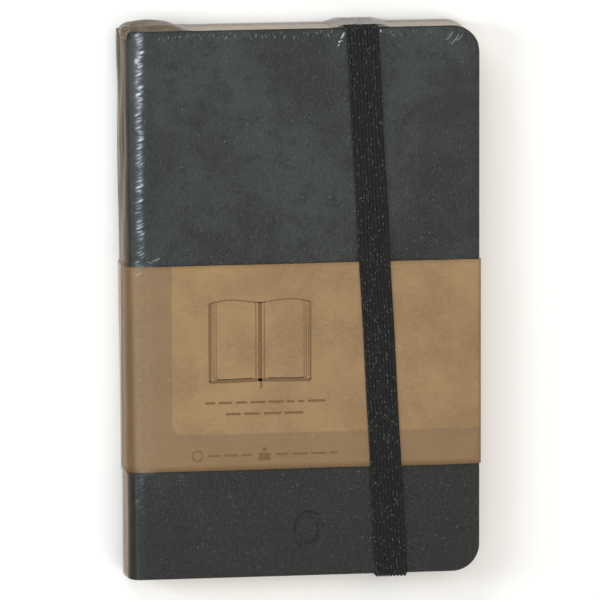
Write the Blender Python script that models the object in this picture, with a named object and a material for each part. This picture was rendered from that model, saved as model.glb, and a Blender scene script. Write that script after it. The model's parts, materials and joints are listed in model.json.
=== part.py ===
"""Pocket notebook, closed and lying on its back cover.

+X runs from the spine to the fore edge, +Y from the tail to the head, +Z out of the front cover.
The origin is in the middle of the footprint, on the surface that the notebook lies on.
"""

import math

import bmesh
import bpy

MM = 0.001

# Driving dimensions.
WIDTH = 90.0 * MM  # spine face to fore edge, over the covers
HEIGHT = 140.0 * MM  # tail to head, over the covers
THICKNESS = 14.5 * MM  # over both cover skins
CORNER_RADIUS = 7.0 * MM  # fore-edge corners
SHOULDER_RADIUS = 2.0 * MM  # where the spine turns into the covers
GAP = 0.1 * MM  # between layers of paper, card and skin

SKIN = 0.4 * MM
BOARD = 0.8 * MM
PAPER = 0.15 * MM
BAND = 0.3 * MM
POCKET_CARD = 0.25 * MM
STRAP = 0.8 * MM
TURN_IN = 3.0 * MM  # the skin's edge that shows round a pastedown
BLOCK_MARGIN_Y = 0.4 * MM  # the covers' overhang at head and tail
BLOCK_MARGIN_X = 0.8 * MM  # the covers' overhang at the fore edge

# The band's place along the covers, and how far its flaps reach in.
BAND_HEAD_Y = 10.3 * MM
BAND_TAIL_Y = -42.2 * MM
FLAP_LENGTH = 30.0 * MM
BAND_TURN = 0.35 * MM  # middle radius of its turn round a cover's edge

# The elastic strap slants from head to tail.
STRAP_WIDTH = 8.0 * MM
STRAP_HEAD_X = 14.8 * MM
STRAP_TAIL_X = 22.1 * MM
SLIT_FROM_EDGE = 8.5 * MM
STRAP_TAB = 9.8 * MM  # glued inside the back cover
TAB_THICKNESS = 0.3 * MM
BACK_RUN_THICKNESS = 0.7 * MM
STRAP_LIFT = 0.05 * MM  # from the resting plane to the strap's back run

SECTION_COUNT = 10
TURNING_SECTIONS = 2
SECTIONS_ABOVE_RIBBON = 5
RIBBON = 0.25 * MM
RIBBON_WIDTH = 6.0 * MM
RIBBON_END_Y = -62.0 * MM
RIBBON_ROOT_LENGTH = 8.0 * MM
THREAD_COUNT = 5
THREAD_RADIUS = 0.12 * MM
THREAD_SPAN = 110.0 * MM  # between the first and last sewing stations

CORNER_STEPS = 8
SHOULDER_STEPS = 8
TURN_STEPS = 4

# Levels and edges worked out from the driving dimensions.
LEFT = -WIDTH / 2
RIGHT = WIDTH / 2
HALF = HEIGHT / 2
BACK_FACE = BAND + GAP  # outer face of the back skin
FRONT_FACE = BACK_FACE + THICKNESS
COVER_BUILD = SKIN + GAP + BOARD + GAP + PAPER
COVER_LEFT = LEFT + SHOULDER_RADIUS + GAP
LINER_LEFT = LEFT + SKIN + GAP
LINER = 0.5 * MM
MULL_LEFT = LINER_LEFT + LINER + GAP
THREAD_LEFT = MULL_LEFT + PAPER + GAP
THREAD_LAYER = 0.3 * MM
BLOCK_LEFT = THREAD_LEFT + THREAD_LAYER + GAP
BLOCK_RIGHT = RIGHT - BLOCK_MARGIN_X
BLOCK_HALF = HALF - BLOCK_MARGIN_Y
BLOCK_RADIUS = CORNER_RADIUS - BLOCK_MARGIN_Y
GUSSET_LOW = BACK_FACE + COVER_BUILD + GAP
POCKET_LOW = GUSSET_LOW + PAPER + GAP
BACK_FLAP_LOW = POCKET_LOW + POCKET_CARD + GAP
REAR_FLYLEAF_LOW = BACK_FLAP_LOW + BAND + GAP
BLOCK_LOW = REAR_FLYLEAF_LOW + PAPER + GAP
FRONT_FLAP_LOW = FRONT_FACE - COVER_BUILD - GAP - BAND
FRONT_FLYLEAF_LOW = FRONT_FLAP_LOW - GAP - PAPER
BLOCK_HIGH = FRONT_FLYLEAF_LOW - GAP
RIBBON_ROOM = RIBBON + 2 * GAP
SECTION_ROOM = (BLOCK_HIGH - BLOCK_LOW - RIBBON_ROOM + GAP) / SECTION_COUNT
SECTION = SECTION_ROOM - GAP
STRAP_LOW = FRONT_FACE + GAP + BAND + GAP
STRAP_HIGH = STRAP_LOW + STRAP


def clear_scene():
    for found in list(bpy.data.objects):
        bpy.data.objects.remove(found, do_unlink=True)


def material(name, colour, roughness):
    made = bpy.data.materials.new(name)
    made.use_nodes = True
    shader = made.node_tree.nodes["Principled BSDF"]
    shader.inputs["Base Color"].default_value = (*colour, 1.0)
    shader.inputs["Roughness"].default_value = roughness
    shader.inputs["Metallic"].default_value = 0.0
    made.diffuse_color = (*colour, 1.0)
    return made


def pivot(name, place):
    made = bpy.data.objects.new(name, None)
    bpy.context.collection.objects.link(made)
    made.location = place
    return made


def finished(name, mesh, place, finish, parent=None):
    """An object at a place in the world, held by its pivot if it has one."""
    made = bpy.data.objects.new(name, mesh)
    bpy.context.collection.objects.link(made)
    made.location = place
    if parent is not None:
        made.parent = parent
        made.location = [a - b for a, b in zip(place, parent.location)]
    if finish is not None:
        mesh.materials.append(finish.copy())
        mesh.materials[0].name = name
    return made


def prism_mesh(name, outline, vector):
    """A closed solid: a flat outline swept along a vector."""
    shape = bmesh.new()
    face = shape.faces.new([shape.verts.new(point) for point in outline])
    swept = bmesh.ops.extrude_face_region(shape, geom=[face])["geom"]
    corners = [item for item in swept if isinstance(item, bmesh.types.BMVert)]
    bmesh.ops.translate(shape, vec=vector, verts=corners)
    bmesh.ops.recalc_face_normals(shape, faces=shape.faces)
    mesh = bpy.data.meshes.new(name)
    shape.to_mesh(mesh)
    shape.free()
    return mesh


def arc(centre, radius, start, end, steps):
    """Points on an arc, from one angle to another in degrees."""
    angles = [math.radians(start + (end - start) * n / steps) for n in range(steps + 1)]
    return [(centre[0] + radius * math.cos(a), centre[1] + radius * math.sin(a)) for a in angles]


def leaf_outline(left, right, half, radius):
    """A leaf seen from above: square at the spine, rounded at the fore edge."""
    low = arc((right - radius, radius - half), radius, -90, 0, CORNER_STEPS)
    high = arc((right - radius, half - radius), radius, 0, 90, CORNER_STEPS)
    return [(left, -half), *low, *high, (left, half)]


def leaf(name, left, right, half, radius, low, thick, finish=None, parent=None):
    outline = [(x, y, 0) for x, y in leaf_outline(left, right, half, radius)]
    mesh = prism_mesh(name, outline, (0, 0, thick))
    return finished(name, mesh, (0, 0, low), finish, parent)


def box(name, low, high, finish=None, parent=None):
    size = [b - a for a, b in zip(low, high)]
    outline = [(0, 0, 0), (size[0], 0, 0), (size[0], size[1], 0), (0, size[1], 0)]
    return finished(name, prism_mesh(name, outline, (0, 0, size[2])), low, finish, parent)


def strip(name, path, thick, tail, head, finish, parent=None):
    """A sheet of even thickness along a path of (x, z) points, from tail to head."""
    sides = ([], [])
    for n, point in enumerate(path):
        before = path[max(n - 1, 0)]
        after = path[min(n + 1, len(path) - 1)]
        run = math.hypot(after[0] - before[0], after[1] - before[1])
        across = ((before[1] - after[1]) / run, (after[0] - before[0]) / run)
        for side, sign in zip(sides, (0.5, -0.5)):
            side.append((point[0] + sign * thick * across[0], 0, point[1] + sign * thick * across[1]))
    outline = sides[0] + sides[1][::-1]
    mesh = prism_mesh(name, outline, (0, head - tail, 0))
    mesh.shade_smooth()
    mesh.set_sharp_from_angle(angle=math.radians(40))
    return finished(name, mesh, (0, tail, 0), finish, parent)


def cut(body, cutter):
    cutter.hide_render = True
    cutter.display_type = "WIRE"
    change = body.modifiers.new(cutter.name, "BOOLEAN")
    change.operation = "DIFFERENCE"
    change.solver = "EXACT"
    change.object = cutter


def level(outer, inward, start, thick):
    """The lower face of a layer that starts this far in from a cover's outer face."""
    return outer + start if inward > 0 else outer - start - thick


def cover(side, outer, inward, finishes, parent=None):
    """A cover: the skin wrapped round the board's edges, the board, and the pastedown."""
    skin = leaf(f"{side}_cover_skin", COVER_LEFT, RIGHT, HALF, CORNER_RADIUS,
                level(outer, inward, 0, COVER_BUILD), COVER_BUILD, finishes["skin"], parent)
    hollow = BOARD + 2 * GAP
    cut(skin, leaf(f"{side}_board_space", LEFT, RIGHT - SKIN, HALF - SKIN, CORNER_RADIUS - SKIN,
                   level(outer, inward, SKIN, hollow), hollow))
    cut(skin, leaf(f"{side}_turn_in_window", LEFT, RIGHT - TURN_IN, HALF - TURN_IN, CORNER_RADIUS - TURN_IN,
                   level(outer, inward, SKIN + BOARD, SKIN + BOARD), SKIN + BOARD))
    edge = SKIN + GAP
    board = leaf(f"{side}_cover_board", COVER_LEFT, RIGHT - edge, HALF - edge, CORNER_RADIUS - edge,
                 level(outer, inward, edge, BOARD), BOARD, finishes["board"], parent)
    edge = TURN_IN + GAP
    leaf(f"{side}_pastedown", COVER_LEFT + SKIN, RIGHT - edge, HALF - edge, CORNER_RADIUS - edge,
         level(outer, inward, COVER_BUILD - PAPER, PAPER), PAPER, finishes["paper"], parent)
    return skin, board


def strap_anchor(end, x, sign, skin, board, finish):
    """A strap end: under the back cover from its edge to a slit, then through it to a glued tab."""
    out = STRAP_WIDTH / 2
    slit = HALF - SLIT_FROM_EDGE
    inner = slit - STRAP
    tab_end = inner - STRAP_TAB + STRAP
    low = STRAP_LIFT
    tab_high = BACK_FACE + SKIN + GAP + BOARD - GAP
    tab_low = tab_high - TAB_THICKNESS
    profile = [(HALF, low), (HALF, low + BACK_RUN_THICKNESS), (slit, low + BACK_RUN_THICKNESS),
               (slit, tab_high), (tab_end, tab_high), (tab_end, tab_low), (inner, tab_low), (inner, low)]
    outline = [(0, sign * y, z) for y, z in profile]
    name = f"elastic_{end}_anchor"
    finished(name, prism_mesh(name, outline, (2 * out, 0, 0)), (x - out, 0, 0), finish)

    def space(label, start, stop, bottom, top):
        ends = sorted((sign * start, sign * stop))
        return box(f"{end}_{label}", (x - out - GAP, ends[0], bottom), (x + out + GAP, ends[1], top))

    cut(skin, space("skin_notch", inner - GAP, HALF + STRAP, 0, low + BACK_RUN_THICKNESS + GAP))
    cut(board, space("slit", inner - GAP, slit + GAP, 0, BACK_FACE + COVER_BUILD))
    cut(board, space("tab_recess", tab_end - GAP, slit, tab_low - GAP, BACK_FACE + COVER_BUILD))


def band_panel(side, outer, flap_middle, finish, parent=None):
    """The band over a cover, turned round its fore edge and tucked in behind it."""
    x = RIGHT + GAP + BAND / 2
    sign = 1 if outer > flap_middle else -1
    turn = 90 * sign
    path = [(COVER_LEFT, outer)]
    path += arc((x - BAND_TURN, outer - sign * BAND_TURN), BAND_TURN, turn, 0, TURN_STEPS)
    path += arc((x - BAND_TURN, flap_middle + sign * BAND_TURN), BAND_TURN, 0, -turn, TURN_STEPS)
    path.append((RIGHT - FLAP_LENGTH, flap_middle))
    strip(f"band_{side}_panel", path, BAND, BAND_TAIL_Y, BAND_HEAD_Y, finish, parent)


def spine_path(radius):
    """Round the lower shoulder, up the spine and round the upper shoulder."""
    x = LEFT + SHOULDER_RADIUS
    low = arc((x, BACK_FACE + SHOULDER_RADIUS), radius, 270, 180, SHOULDER_STEPS)
    high = arc((x, FRONT_FACE - SHOULDER_RADIUS), radius, 180, 90, SHOULDER_STEPS)
    return low + high


def thread(name, x, y, low, high, finish, parent):
    shape = bmesh.new()
    bmesh.ops.create_cone(shape, cap_ends=True, segments=8, radius1=THREAD_RADIUS,
                          radius2=THREAD_RADIUS, depth=high - low)
    mesh = bpy.data.meshes.new(name)
    shape.to_mesh(mesh)
    shape.free()
    mesh.shade_smooth()
    mesh.set_sharp_from_angle(angle=math.radians(60))
    finished(name, mesh, (x, y, (low + high) / 2), finish, parent)


def page_block(finishes, spine_axis, cover_axis):
    """The folded sections from front to back, with the ribbon in the middle, and the flyleaves."""
    leaf("front_flyleaf", BLOCK_LEFT, BLOCK_RIGHT, BLOCK_HALF, BLOCK_RADIUS,
         FRONT_FLYLEAF_LOW, PAPER, finishes["paper"], cover_axis)
    leaf("rear_flyleaf", BLOCK_LEFT, BLOCK_RIGHT, BLOCK_HALF, BLOCK_RADIUS,
         REAR_FLYLEAF_LOW, PAPER, finishes["paper"], spine_axis)
    high = BLOCK_HIGH
    for n in range(1, SECTION_COUNT + 1):
        parent = cover_axis if n <= TURNING_SECTIONS else spine_axis
        leaf(f"section_{n:02d}", BLOCK_LEFT, BLOCK_RIGHT, BLOCK_HALF, BLOCK_RADIUS,
             high - SECTION, SECTION, finishes["pages"], parent)
        high -= SECTION_ROOM
        if n == SECTIONS_ABOVE_RIBBON:
            ribbon(high, finishes["ribbon"], spine_axis)
            high -= RIBBON_ROOM - GAP


def ribbon(high, finish, parent):
    """The ribbon marker: glued to the block's spine, over the head, and down between two sections."""
    low = high - RIBBON
    middle = high - RIBBON / 2
    near = BLOCK_LEFT + 3 * MM
    far = near + RIBBON_WIDTH
    fold = BLOCK_HALF + GAP
    outline = [(near, RIBBON_END_Y), (far, RIBBON_END_Y), (far, HALF), (THREAD_LEFT, HALF),
               (THREAD_LEFT, fold), (near, fold)]
    mesh = prism_mesh("ribbon_tail", [(x, y, 0) for x, y in outline], (0, 0, RIBBON))
    finished("ribbon_tail", mesh, (0, 0, low), finish, parent)
    box("ribbon_root", (THREAD_LEFT, BLOCK_HALF - RIBBON_ROOT_LENGTH, middle - RIBBON_WIDTH / 2),
        (THREAD_LEFT + THREAD_LAYER, BLOCK_HALF, middle + RIBBON_WIDTH / 2), finish, parent)


def spine(finishes, parent):
    """The skin over the spine, its card liner, the cloth on the block and the sewing threads."""
    strip("spine_skin", spine_path(SHOULDER_RADIUS - SKIN / 2), SKIN, -HALF, HALF, finishes["skin"], parent)
    low = BACK_FACE + SHOULDER_RADIUS
    high = FRONT_FACE - SHOULDER_RADIUS
    box("spine_liner", (LINER_LEFT, -BLOCK_HALF, low), (LINER_LEFT + LINER, BLOCK_HALF, high),
        finishes["board"], parent)
    reach = THREAD_SPAN / 2 + 5 * MM
    box("mull_lining", (MULL_LEFT, -reach, BLOCK_LOW), (MULL_LEFT + PAPER, reach, BLOCK_HIGH),
        finishes["mull"], parent)
    for n in range(THREAD_COUNT):
        y = THREAD_SPAN * (n / (THREAD_COUNT - 1) - 0.5)
        thread(f"sewing_thread_{n + 1}", THREAD_LEFT + THREAD_LAYER / 2, y, BLOCK_LOW, BLOCK_HIGH,
               finishes["thread"], parent)


def rear_pocket(finishes):
    """A card panel on two folded gussets, inside the back cover."""
    left = COVER_LEFT + 8 * MM
    right = RIGHT - TURN_IN - 1 * MM
    half = HALF - TURN_IN - 1 * MM
    leaf("rear_pocket_panel", left, right, half, 3 * MM, POCKET_LOW, POCKET_CARD, finishes["card"])
    for name, low, high in (("head", half - 7 * MM, half), ("tail", -half, 7 * MM - half)):
        box(f"rear_pocket_{name}_gusset", (left + 2 * MM, low, GUSSET_LOW),
            (right - 3 * MM, high, GUSSET_LOW + PAPER), finishes["mull"])


def elastic(finish, parent):
    """The strap over the front, and its two legs down the head and the tail."""
    out = STRAP_WIDTH / 2
    outline = [(STRAP_TAIL_X - out, -HALF, 0), (STRAP_TAIL_X + out, -HALF, 0),
               (STRAP_HEAD_X + out, HALF, 0), (STRAP_HEAD_X - out, HALF, 0)]
    mesh = prism_mesh("elastic_front_run", outline, (0, 0, STRAP))
    finished("elastic_front_run", mesh, (0, 0, STRAP_LOW), finish, parent)
    for name, x, y in (("head", STRAP_HEAD_X, HALF + GAP), ("tail", STRAP_TAIL_X, -HALF - GAP - STRAP)):
        box(f"elastic_{name}_leg", (x - out, y, STRAP_LIFT), (x + out, y + STRAP, STRAP_HIGH),
            finish, parent)


def build():
    clear_scene()
    finishes = {
        "skin": material("leather_look", (0.050, 0.056, 0.050), 0.5),
        "board": material("grey_board", (0.30, 0.28, 0.25), 0.9),
        "paper": material("endpaper", (0.76, 0.70, 0.58), 0.85),
        "pages": material("page_paper", (0.74, 0.68, 0.56), 0.85),
        "card": material("pocket_card", (0.62, 0.56, 0.45), 0.85),
        "mull": material("lining_cloth", (0.70, 0.67, 0.60), 0.9),
        "thread": material("linen_thread", (0.78, 0.75, 0.68), 0.8),
        "ribbon": material("ribbon_brown", (0.07, 0.045, 0.03), 0.55),
        "kraft": material("kraft_card", (0.37, 0.25, 0.14), 0.85),
        "elastic": material("woven_elastic", (0.022, 0.023, 0.022), 0.75),
    }
    spine_axis = pivot("spine_axis", (LEFT, 0, BACK_FACE))
    cover_axis = pivot("cover_axis", (LEFT, 0, FRONT_FACE))
    strap_guide = pivot("strap_guide", ((STRAP_HEAD_X + STRAP_TAIL_X) / 2, 0, STRAP_LOW))
    skin, board = cover("back", BACK_FACE, 1, finishes)
    strap_anchor("head", STRAP_HEAD_X, 1, skin, board, finishes["elastic"])
    strap_anchor("tail", STRAP_TAIL_X, -1, skin, board, finishes["elastic"])
    rear_pocket(finishes)
    band_panel("back", BAND / 2, BACK_FLAP_LOW + BAND / 2, finishes["kraft"])
    spine(finishes, spine_axis)
    strip("band_spine_panel", spine_path(SHOULDER_RADIUS + GAP + BAND / 2), BAND,
          BAND_TAIL_Y, BAND_HEAD_Y, finishes["kraft"], spine_axis)
    page_block(finishes, spine_axis, cover_axis)
    cover("front", FRONT_FACE, -1, finishes, cover_axis)
    band_panel("front", FRONT_FACE + GAP + BAND / 2, FRONT_FLAP_LOW + BAND / 2, finishes["kraft"], cover_axis)
    elastic(finishes["elastic"], strap_guide)


build()
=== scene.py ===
import json
import math
import random

import bpy
import numpy as np
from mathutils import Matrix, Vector, noise

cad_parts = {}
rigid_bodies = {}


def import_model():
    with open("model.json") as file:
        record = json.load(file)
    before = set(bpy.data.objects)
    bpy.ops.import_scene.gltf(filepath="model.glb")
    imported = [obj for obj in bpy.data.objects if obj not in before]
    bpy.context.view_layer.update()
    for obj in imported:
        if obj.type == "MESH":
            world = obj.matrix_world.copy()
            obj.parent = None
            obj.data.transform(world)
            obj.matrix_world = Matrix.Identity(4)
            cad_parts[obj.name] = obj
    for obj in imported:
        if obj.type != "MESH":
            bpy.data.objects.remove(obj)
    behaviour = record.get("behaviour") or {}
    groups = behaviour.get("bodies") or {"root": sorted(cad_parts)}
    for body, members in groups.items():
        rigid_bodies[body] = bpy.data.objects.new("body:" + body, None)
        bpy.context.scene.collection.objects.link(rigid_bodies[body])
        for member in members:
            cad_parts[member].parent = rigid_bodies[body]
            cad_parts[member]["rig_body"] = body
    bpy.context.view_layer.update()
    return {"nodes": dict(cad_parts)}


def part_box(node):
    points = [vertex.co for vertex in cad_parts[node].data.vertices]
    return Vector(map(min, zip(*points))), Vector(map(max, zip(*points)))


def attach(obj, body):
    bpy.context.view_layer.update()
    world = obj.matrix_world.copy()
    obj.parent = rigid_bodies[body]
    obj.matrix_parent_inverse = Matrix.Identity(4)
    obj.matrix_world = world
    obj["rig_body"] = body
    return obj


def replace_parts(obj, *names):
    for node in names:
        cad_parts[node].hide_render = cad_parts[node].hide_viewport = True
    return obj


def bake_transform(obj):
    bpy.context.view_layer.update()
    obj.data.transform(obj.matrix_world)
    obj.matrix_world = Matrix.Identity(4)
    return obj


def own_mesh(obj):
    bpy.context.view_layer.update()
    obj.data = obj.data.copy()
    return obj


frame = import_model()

MM = 0.001
nodes = frame["nodes"]

# ---- sizes, read from the frame
SKIN_LOW, SKIN_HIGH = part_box("front_cover_skin")
BAND_LOW, BAND_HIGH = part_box("band_front_panel")
FRONT_FACE = SKIN_HIGH.z
BACK_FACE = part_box("back_cover_skin")[0].z
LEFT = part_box("spine_skin")[0].x
RIGHT = SKIN_HIGH.x
HALF = SKIN_HIGH.y
COVER_DEPTH = SKIN_HIGH.z - SKIN_LOW.z
SHOULDER = 3.0 * MM  # the skin's radius beside the spine
CORNER = 7.0 * MM  # the radius of the covers' corners at the fore edge
SEAM_Z = BACK_FACE + 3.1 * MM  # where the front and back halves of the skin meet on the spine


# ---- mesh helpers
def remember_rest(mesh):
    """Keeps each point's place at rest, which the materials use, so that a pattern moves with its piece."""
    rest = np.empty(len(mesh.vertices) * 3, np.float32)
    mesh.vertices.foreach_get("co", rest)
    layer = mesh.attributes.get("rest") or mesh.attributes.new("rest", "FLOAT_VECTOR", "POINT")
    layer.data.foreach_set("vector", rest)


def added(name, data):
    """A new object in the scene."""
    made = bpy.data.objects.new(name, data)
    bpy.context.scene.collection.objects.link(made)
    return made


def piece(name, points, faces, finish, smooth=True, sharp=35):
    mesh = bpy.data.meshes.new(name)
    mesh.from_pydata([tuple(p) for p in points], [], faces)
    mesh.validate()
    if smooth:
        mesh.shade_smooth()
        mesh.set_sharp_from_angle(angle=math.radians(sharp))
    remember_rest(mesh)
    mesh.materials.append(finish)
    made = added(name, mesh)
    return made


def grid_faces(rows, columns, start=0, flip=False):
    faces = []
    for i in range(rows - 1):
        for j in range(columns - 1):
            a = start + i * columns + j
            quad = (a, a + 1, a + 1 + columns, a + columns)
            faces.append(quad[::-1] if flip else quad)
    return faces


def thicken(made, thickness, offset=-1):
    """Gives a sheet its thickness, inwards from its outer face unless offset says otherwise."""
    solid = made.modifiers.new("thickness", "SOLIDIFY")
    solid.thickness = thickness
    solid.offset = offset
    return made


def arc(centre, radius, start, end, steps):
    """Points on an arc, from one angle to another in degrees."""
    angles = [math.radians(start + (end - start) * n / steps) for n in range(steps + 1)]
    return [(centre[0] + radius * math.cos(a), centre[1] + radius * math.sin(a)) for a in angles]


def spread(low, high, step):
    """Even stations from low to high, both included, about a step apart."""
    count = max(1, round((high - low) / step))
    return [low + (high - low) * n / count for n in range(count + 1)]


def smooth_step(low, high, value):
    t = min(1.0, max(0.0, (value - low) / (high - low)))
    return t * t * (3 - 2 * t)


def plateau(foot, top, brink, end, value):
    """Rises smoothly from 0 to 1 between foot and top, and falls back to 0 between brink and end."""
    return smooth_step(foot, top, value) * (1 - smooth_step(brink, end, value))


def wobble(x, y, z):
    return noise.noise(Vector((x, y, z)))


def bend_at_shoulder(made):
    """Bakes a piece's place into its points; it is not bent round the shoulder."""
    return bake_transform(made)


# ---- material helpers
class Pattern:
    """A material's node tree, with short calls for the nodes that the finishes share."""

    def __init__(self, name):
        self.material = bpy.data.materials.new(name)
        self.material.use_nodes = True
        self.tree = self.material.node_tree
        self.shader = self.tree.nodes["Principled BSDF"]
        scaled = self.node("ShaderNodeVectorMath", operation="SCALE")
        self.link(self.attribute("rest"), scaled.inputs[0])
        scaled.inputs["Scale"].default_value = 1000.0  # patterns are laid out in millimetres
        self.place = scaled.outputs[0]

    def node(self, kind, **settings):
        made = self.tree.nodes.new(kind)
        for key, value in settings.items():
            setattr(made, key, value)
        return made

    def link(self, source, socket):
        if hasattr(source, "is_output"):
            self.tree.links.new(source, socket)
        else:
            socket.default_value = source

    def attribute(self, name):
        return self.node("ShaderNodeAttribute", attribute_name=name).outputs["Vector"]

    def split(self, vector):
        made = self.node("ShaderNodeSeparateXYZ")
        self.link(vector, made.inputs[0])
        return made.outputs

    def axis(self, letter):
        return self.split(self.place)[letter]

    def placed(self, kind, source, output, values, **settings):
        """A node that reads a place, with its other inputs set by name."""
        made = self.node(kind, **settings)
        for key, value in {"Vector": source or self.place, **values}.items():
            self.link(value, made.inputs[key])
        return made.outputs[output]

    def stretch(self, scale, turn=0.0):
        values = {"Scale": scale, "Rotation": (0, 0, math.radians(turn))}
        return self.placed("ShaderNodeMapping", None, 0, values)

    def noise(self, scale, detail=3.0, rough=0.5, source=None, distort=0.0):
        return self.placed("ShaderNodeTexNoise", source, 0,
                           {"Scale": scale, "Detail": detail, "Roughness": rough, "Distortion": distort})

    def cells(self, scale, source=None):
        return self.placed("ShaderNodeTexVoronoi", source, "Distance", {"Scale": scale})

    def wave(self, scale, direction, distort):
        return self.placed("ShaderNodeTexWave", None, "Fac", {"Scale": scale, "Distortion": distort},
                           bands_direction=direction)

    def math(self, operation, a, b=0.0, clamp=False):
        made = self.node("ShaderNodeMath", operation=operation, use_clamp=clamp)
        for socket, value in zip(made.inputs, (a, b, 0.0)):
            self.link(value, socket)
        return made.outputs[0]

    def times(self, a, b):
        return self.math("MULTIPLY", a, b)

    def plus(self, a, b):
        return self.math("ADD", a, b)

    def between(self, value, low, high, out_low=0.0, out_high=1.0):
        made = self.node("ShaderNodeMapRange", interpolation_type="SMOOTHSTEP")
        for key, item in zip(("Value", "From Min", "From Max", "To Min", "To Max"),
                             (value, low, high, out_low, out_high)):
            self.link(item, made.inputs[key])
        return made.outputs[0]

    def spots(self, scale, low, high, source=None):
        """1 at each cell's middle, fading to 0."""
        return self.between(self.cells(scale, source), low, high, 1.0, 0.0)

    def mix(self, share, a, b):
        made = self.node("ShaderNodeMix", data_type="RGBA", blend_type="MIX")
        self.link(share, made.inputs[0])
        for socket, value in zip((made.inputs[6], made.inputs[7]), (a, b)):
            self.link((*value, 1.0) if isinstance(value, tuple) else value, socket)
        return made.outputs[2]

    def tint(self, colour, share, *screen):
        """A share of a screen colour over another colour."""
        return self.mix(share, colour, srgb(*screen))

    def bump(self, height, strength, depth):
        made = self.node("ShaderNodeBump")
        for key, value in (("Strength", strength), ("Distance", depth), ("Height", height)):
            self.link(value, made.inputs[key])
        return made.outputs[0]

    def put(self, **values):
        """Sets the shader's own sockets, each named with _ for a space."""
        for key, value in values.items():
            self.link(value, self.shader.inputs[key.replace("_", " ")])

    def finish(self, colour, rough, normal=None, specular=0.5, coat=0.0, coat_rough=0.1, sheen=0.0):
        self.put(Base_Color=colour, Roughness=rough, Specular_IOR_Level=specular,
                 Coat_Weight=coat, Coat_Roughness=coat_rough, Sheen_Weight=sheen)
        if normal is not None:
            self.put(Normal=normal)
        return self.material


def srgb(r, g, b):
    """A colour from its 0 to 255 screen values."""
    return tuple(((v / 255 + 0.055) / 1.055) ** 2.4 if v > 10 else v / 255 / 12.92 for v in (r, g, b))


# ---- finishes
def leather_finish():
    p = Pattern("leather_look")
    patches = p.noise(0.045, 4, 0.6)
    colour = p.mix(p.between(patches, 0.35, 0.65), srgb(28, 32, 30), srgb(48, 53, 51))
    # Painted shade: darker and warmer towards the tail and the fore edge, broken up by the patches, where
    # less light falls on the cover.
    wear_and_painted_shade = p.plus(p.plus(p.axis("Y"), p.times(p.axis("X"), -0.5)), p.times(patches, 30.0))
    colour = p.tint(colour, p.between(wear_and_painted_shade, 66.0, -62.0, 0.0, 0.92), 13, 9, 2)
    colour = p.tint(colour, p.between(p.noise(0.30, 4, 0.7), 0.48, 0.66, 0.0, 0.5), 16, 17, 15)
    pores = p.cells(2.1, p.stretch((1.0, 0.75, 1.0)))
    fine = p.noise(4.5, 3, 0.65)
    creases = p.noise(1.5, 4, 0.7, p.stretch((1.0, 0.6, 1.0), 24), 1.2)
    grain = p.plus(p.plus(p.times(pores, 0.7), p.times(fine, 0.6)), p.times(creases, 1.4))
    colour = p.tint(colour, p.between(fine, 0.5, 0.75, 0.0, 0.5), 58, 60, 56)
    colour = p.tint(colour, p.between(creases, 0.55, 0.66, 0.0, 0.6), 58, 61, 58)
    # Painted highlight: short pale streaks for glints off small crinkles in the film over the leather.
    painted_crinkle_glints = p.times(p.spots(0.8, 0.02, 0.15, p.stretch((1.9, 0.7, 1), 35)),
                    p.between(p.noise(0.22, 3), 0.46, 0.62, 0.0, 0.75))
    colour = p.tint(colour, painted_crinkle_glints, 100, 105, 101)
    dust = p.times(p.spots(0.62, 0.0, 0.14, p.stretch((1, 1, 1), 17)),
                   p.between(p.noise(0.16, 2), 0.40, 0.60, 0.1, 0.9))
    colour = p.tint(colour, dust, 126, 130, 124)
    # Painted shade: darker and browner towards the fore edge, where the skin rolls down away from the light.
    colour = p.tint(colour, p.times(p.between(p.axis("X"), 41.0, 45.0), 0.45), 34, 28, 20)
    film = p.plus(p.times(p.noise(0.55, 2, 0.5, p.stretch((0.35, 1.0, 1.0))), 0.5), p.times(creases, 0.6))
    p.put(Coat_Normal=p.bump(film, 0.7, 0.0005))
    return p.finish(colour, p.between(p.noise(0.3, 3), 0.3, 0.7, 0.38, 0.52), p.bump(grain, 0.9, 0.0003),
                    specular=0.42, coat=0.14, coat_rough=0.22)


def paper_finish(name, light, dark, lines=False):
    """Pulp with a faint cloud, and for page edges a line to each leaf."""
    p = Pattern(name)
    pulp = p.noise(1.4, 5, 0.65)
    colour = p.mix(p.between(pulp, 0.2, 0.6, 0.45, 1.0), dark, light)
    colour = p.mix(p.times(p.noise(0.06, 2), 0.12), colour, dark)
    if lines:
        leaf = p.noise(9.0, 1, 0.5, p.stretch((0.0, 0.0, 1.0)))
        colour = p.mix(p.between(leaf, 0.35, 0.6, 0.0, 0.35), colour, tuple(0.62 * v for v in dark))
    rough = p.between(pulp, 0.2, 0.8, 0.78, 0.92)
    return p.finish(colour, rough, p.bump(p.noise(5.0, 4, 0.7), 0.25, 0.00003), sheen=0.03)


# The band's printed panel, from the band's own edges.
PANEL_LEFT = -34.2 * MM
PANEL_LOW = BAND_LOW.y + 9.1 * MM
PANEL_CORNER = 3.0 * MM


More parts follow.
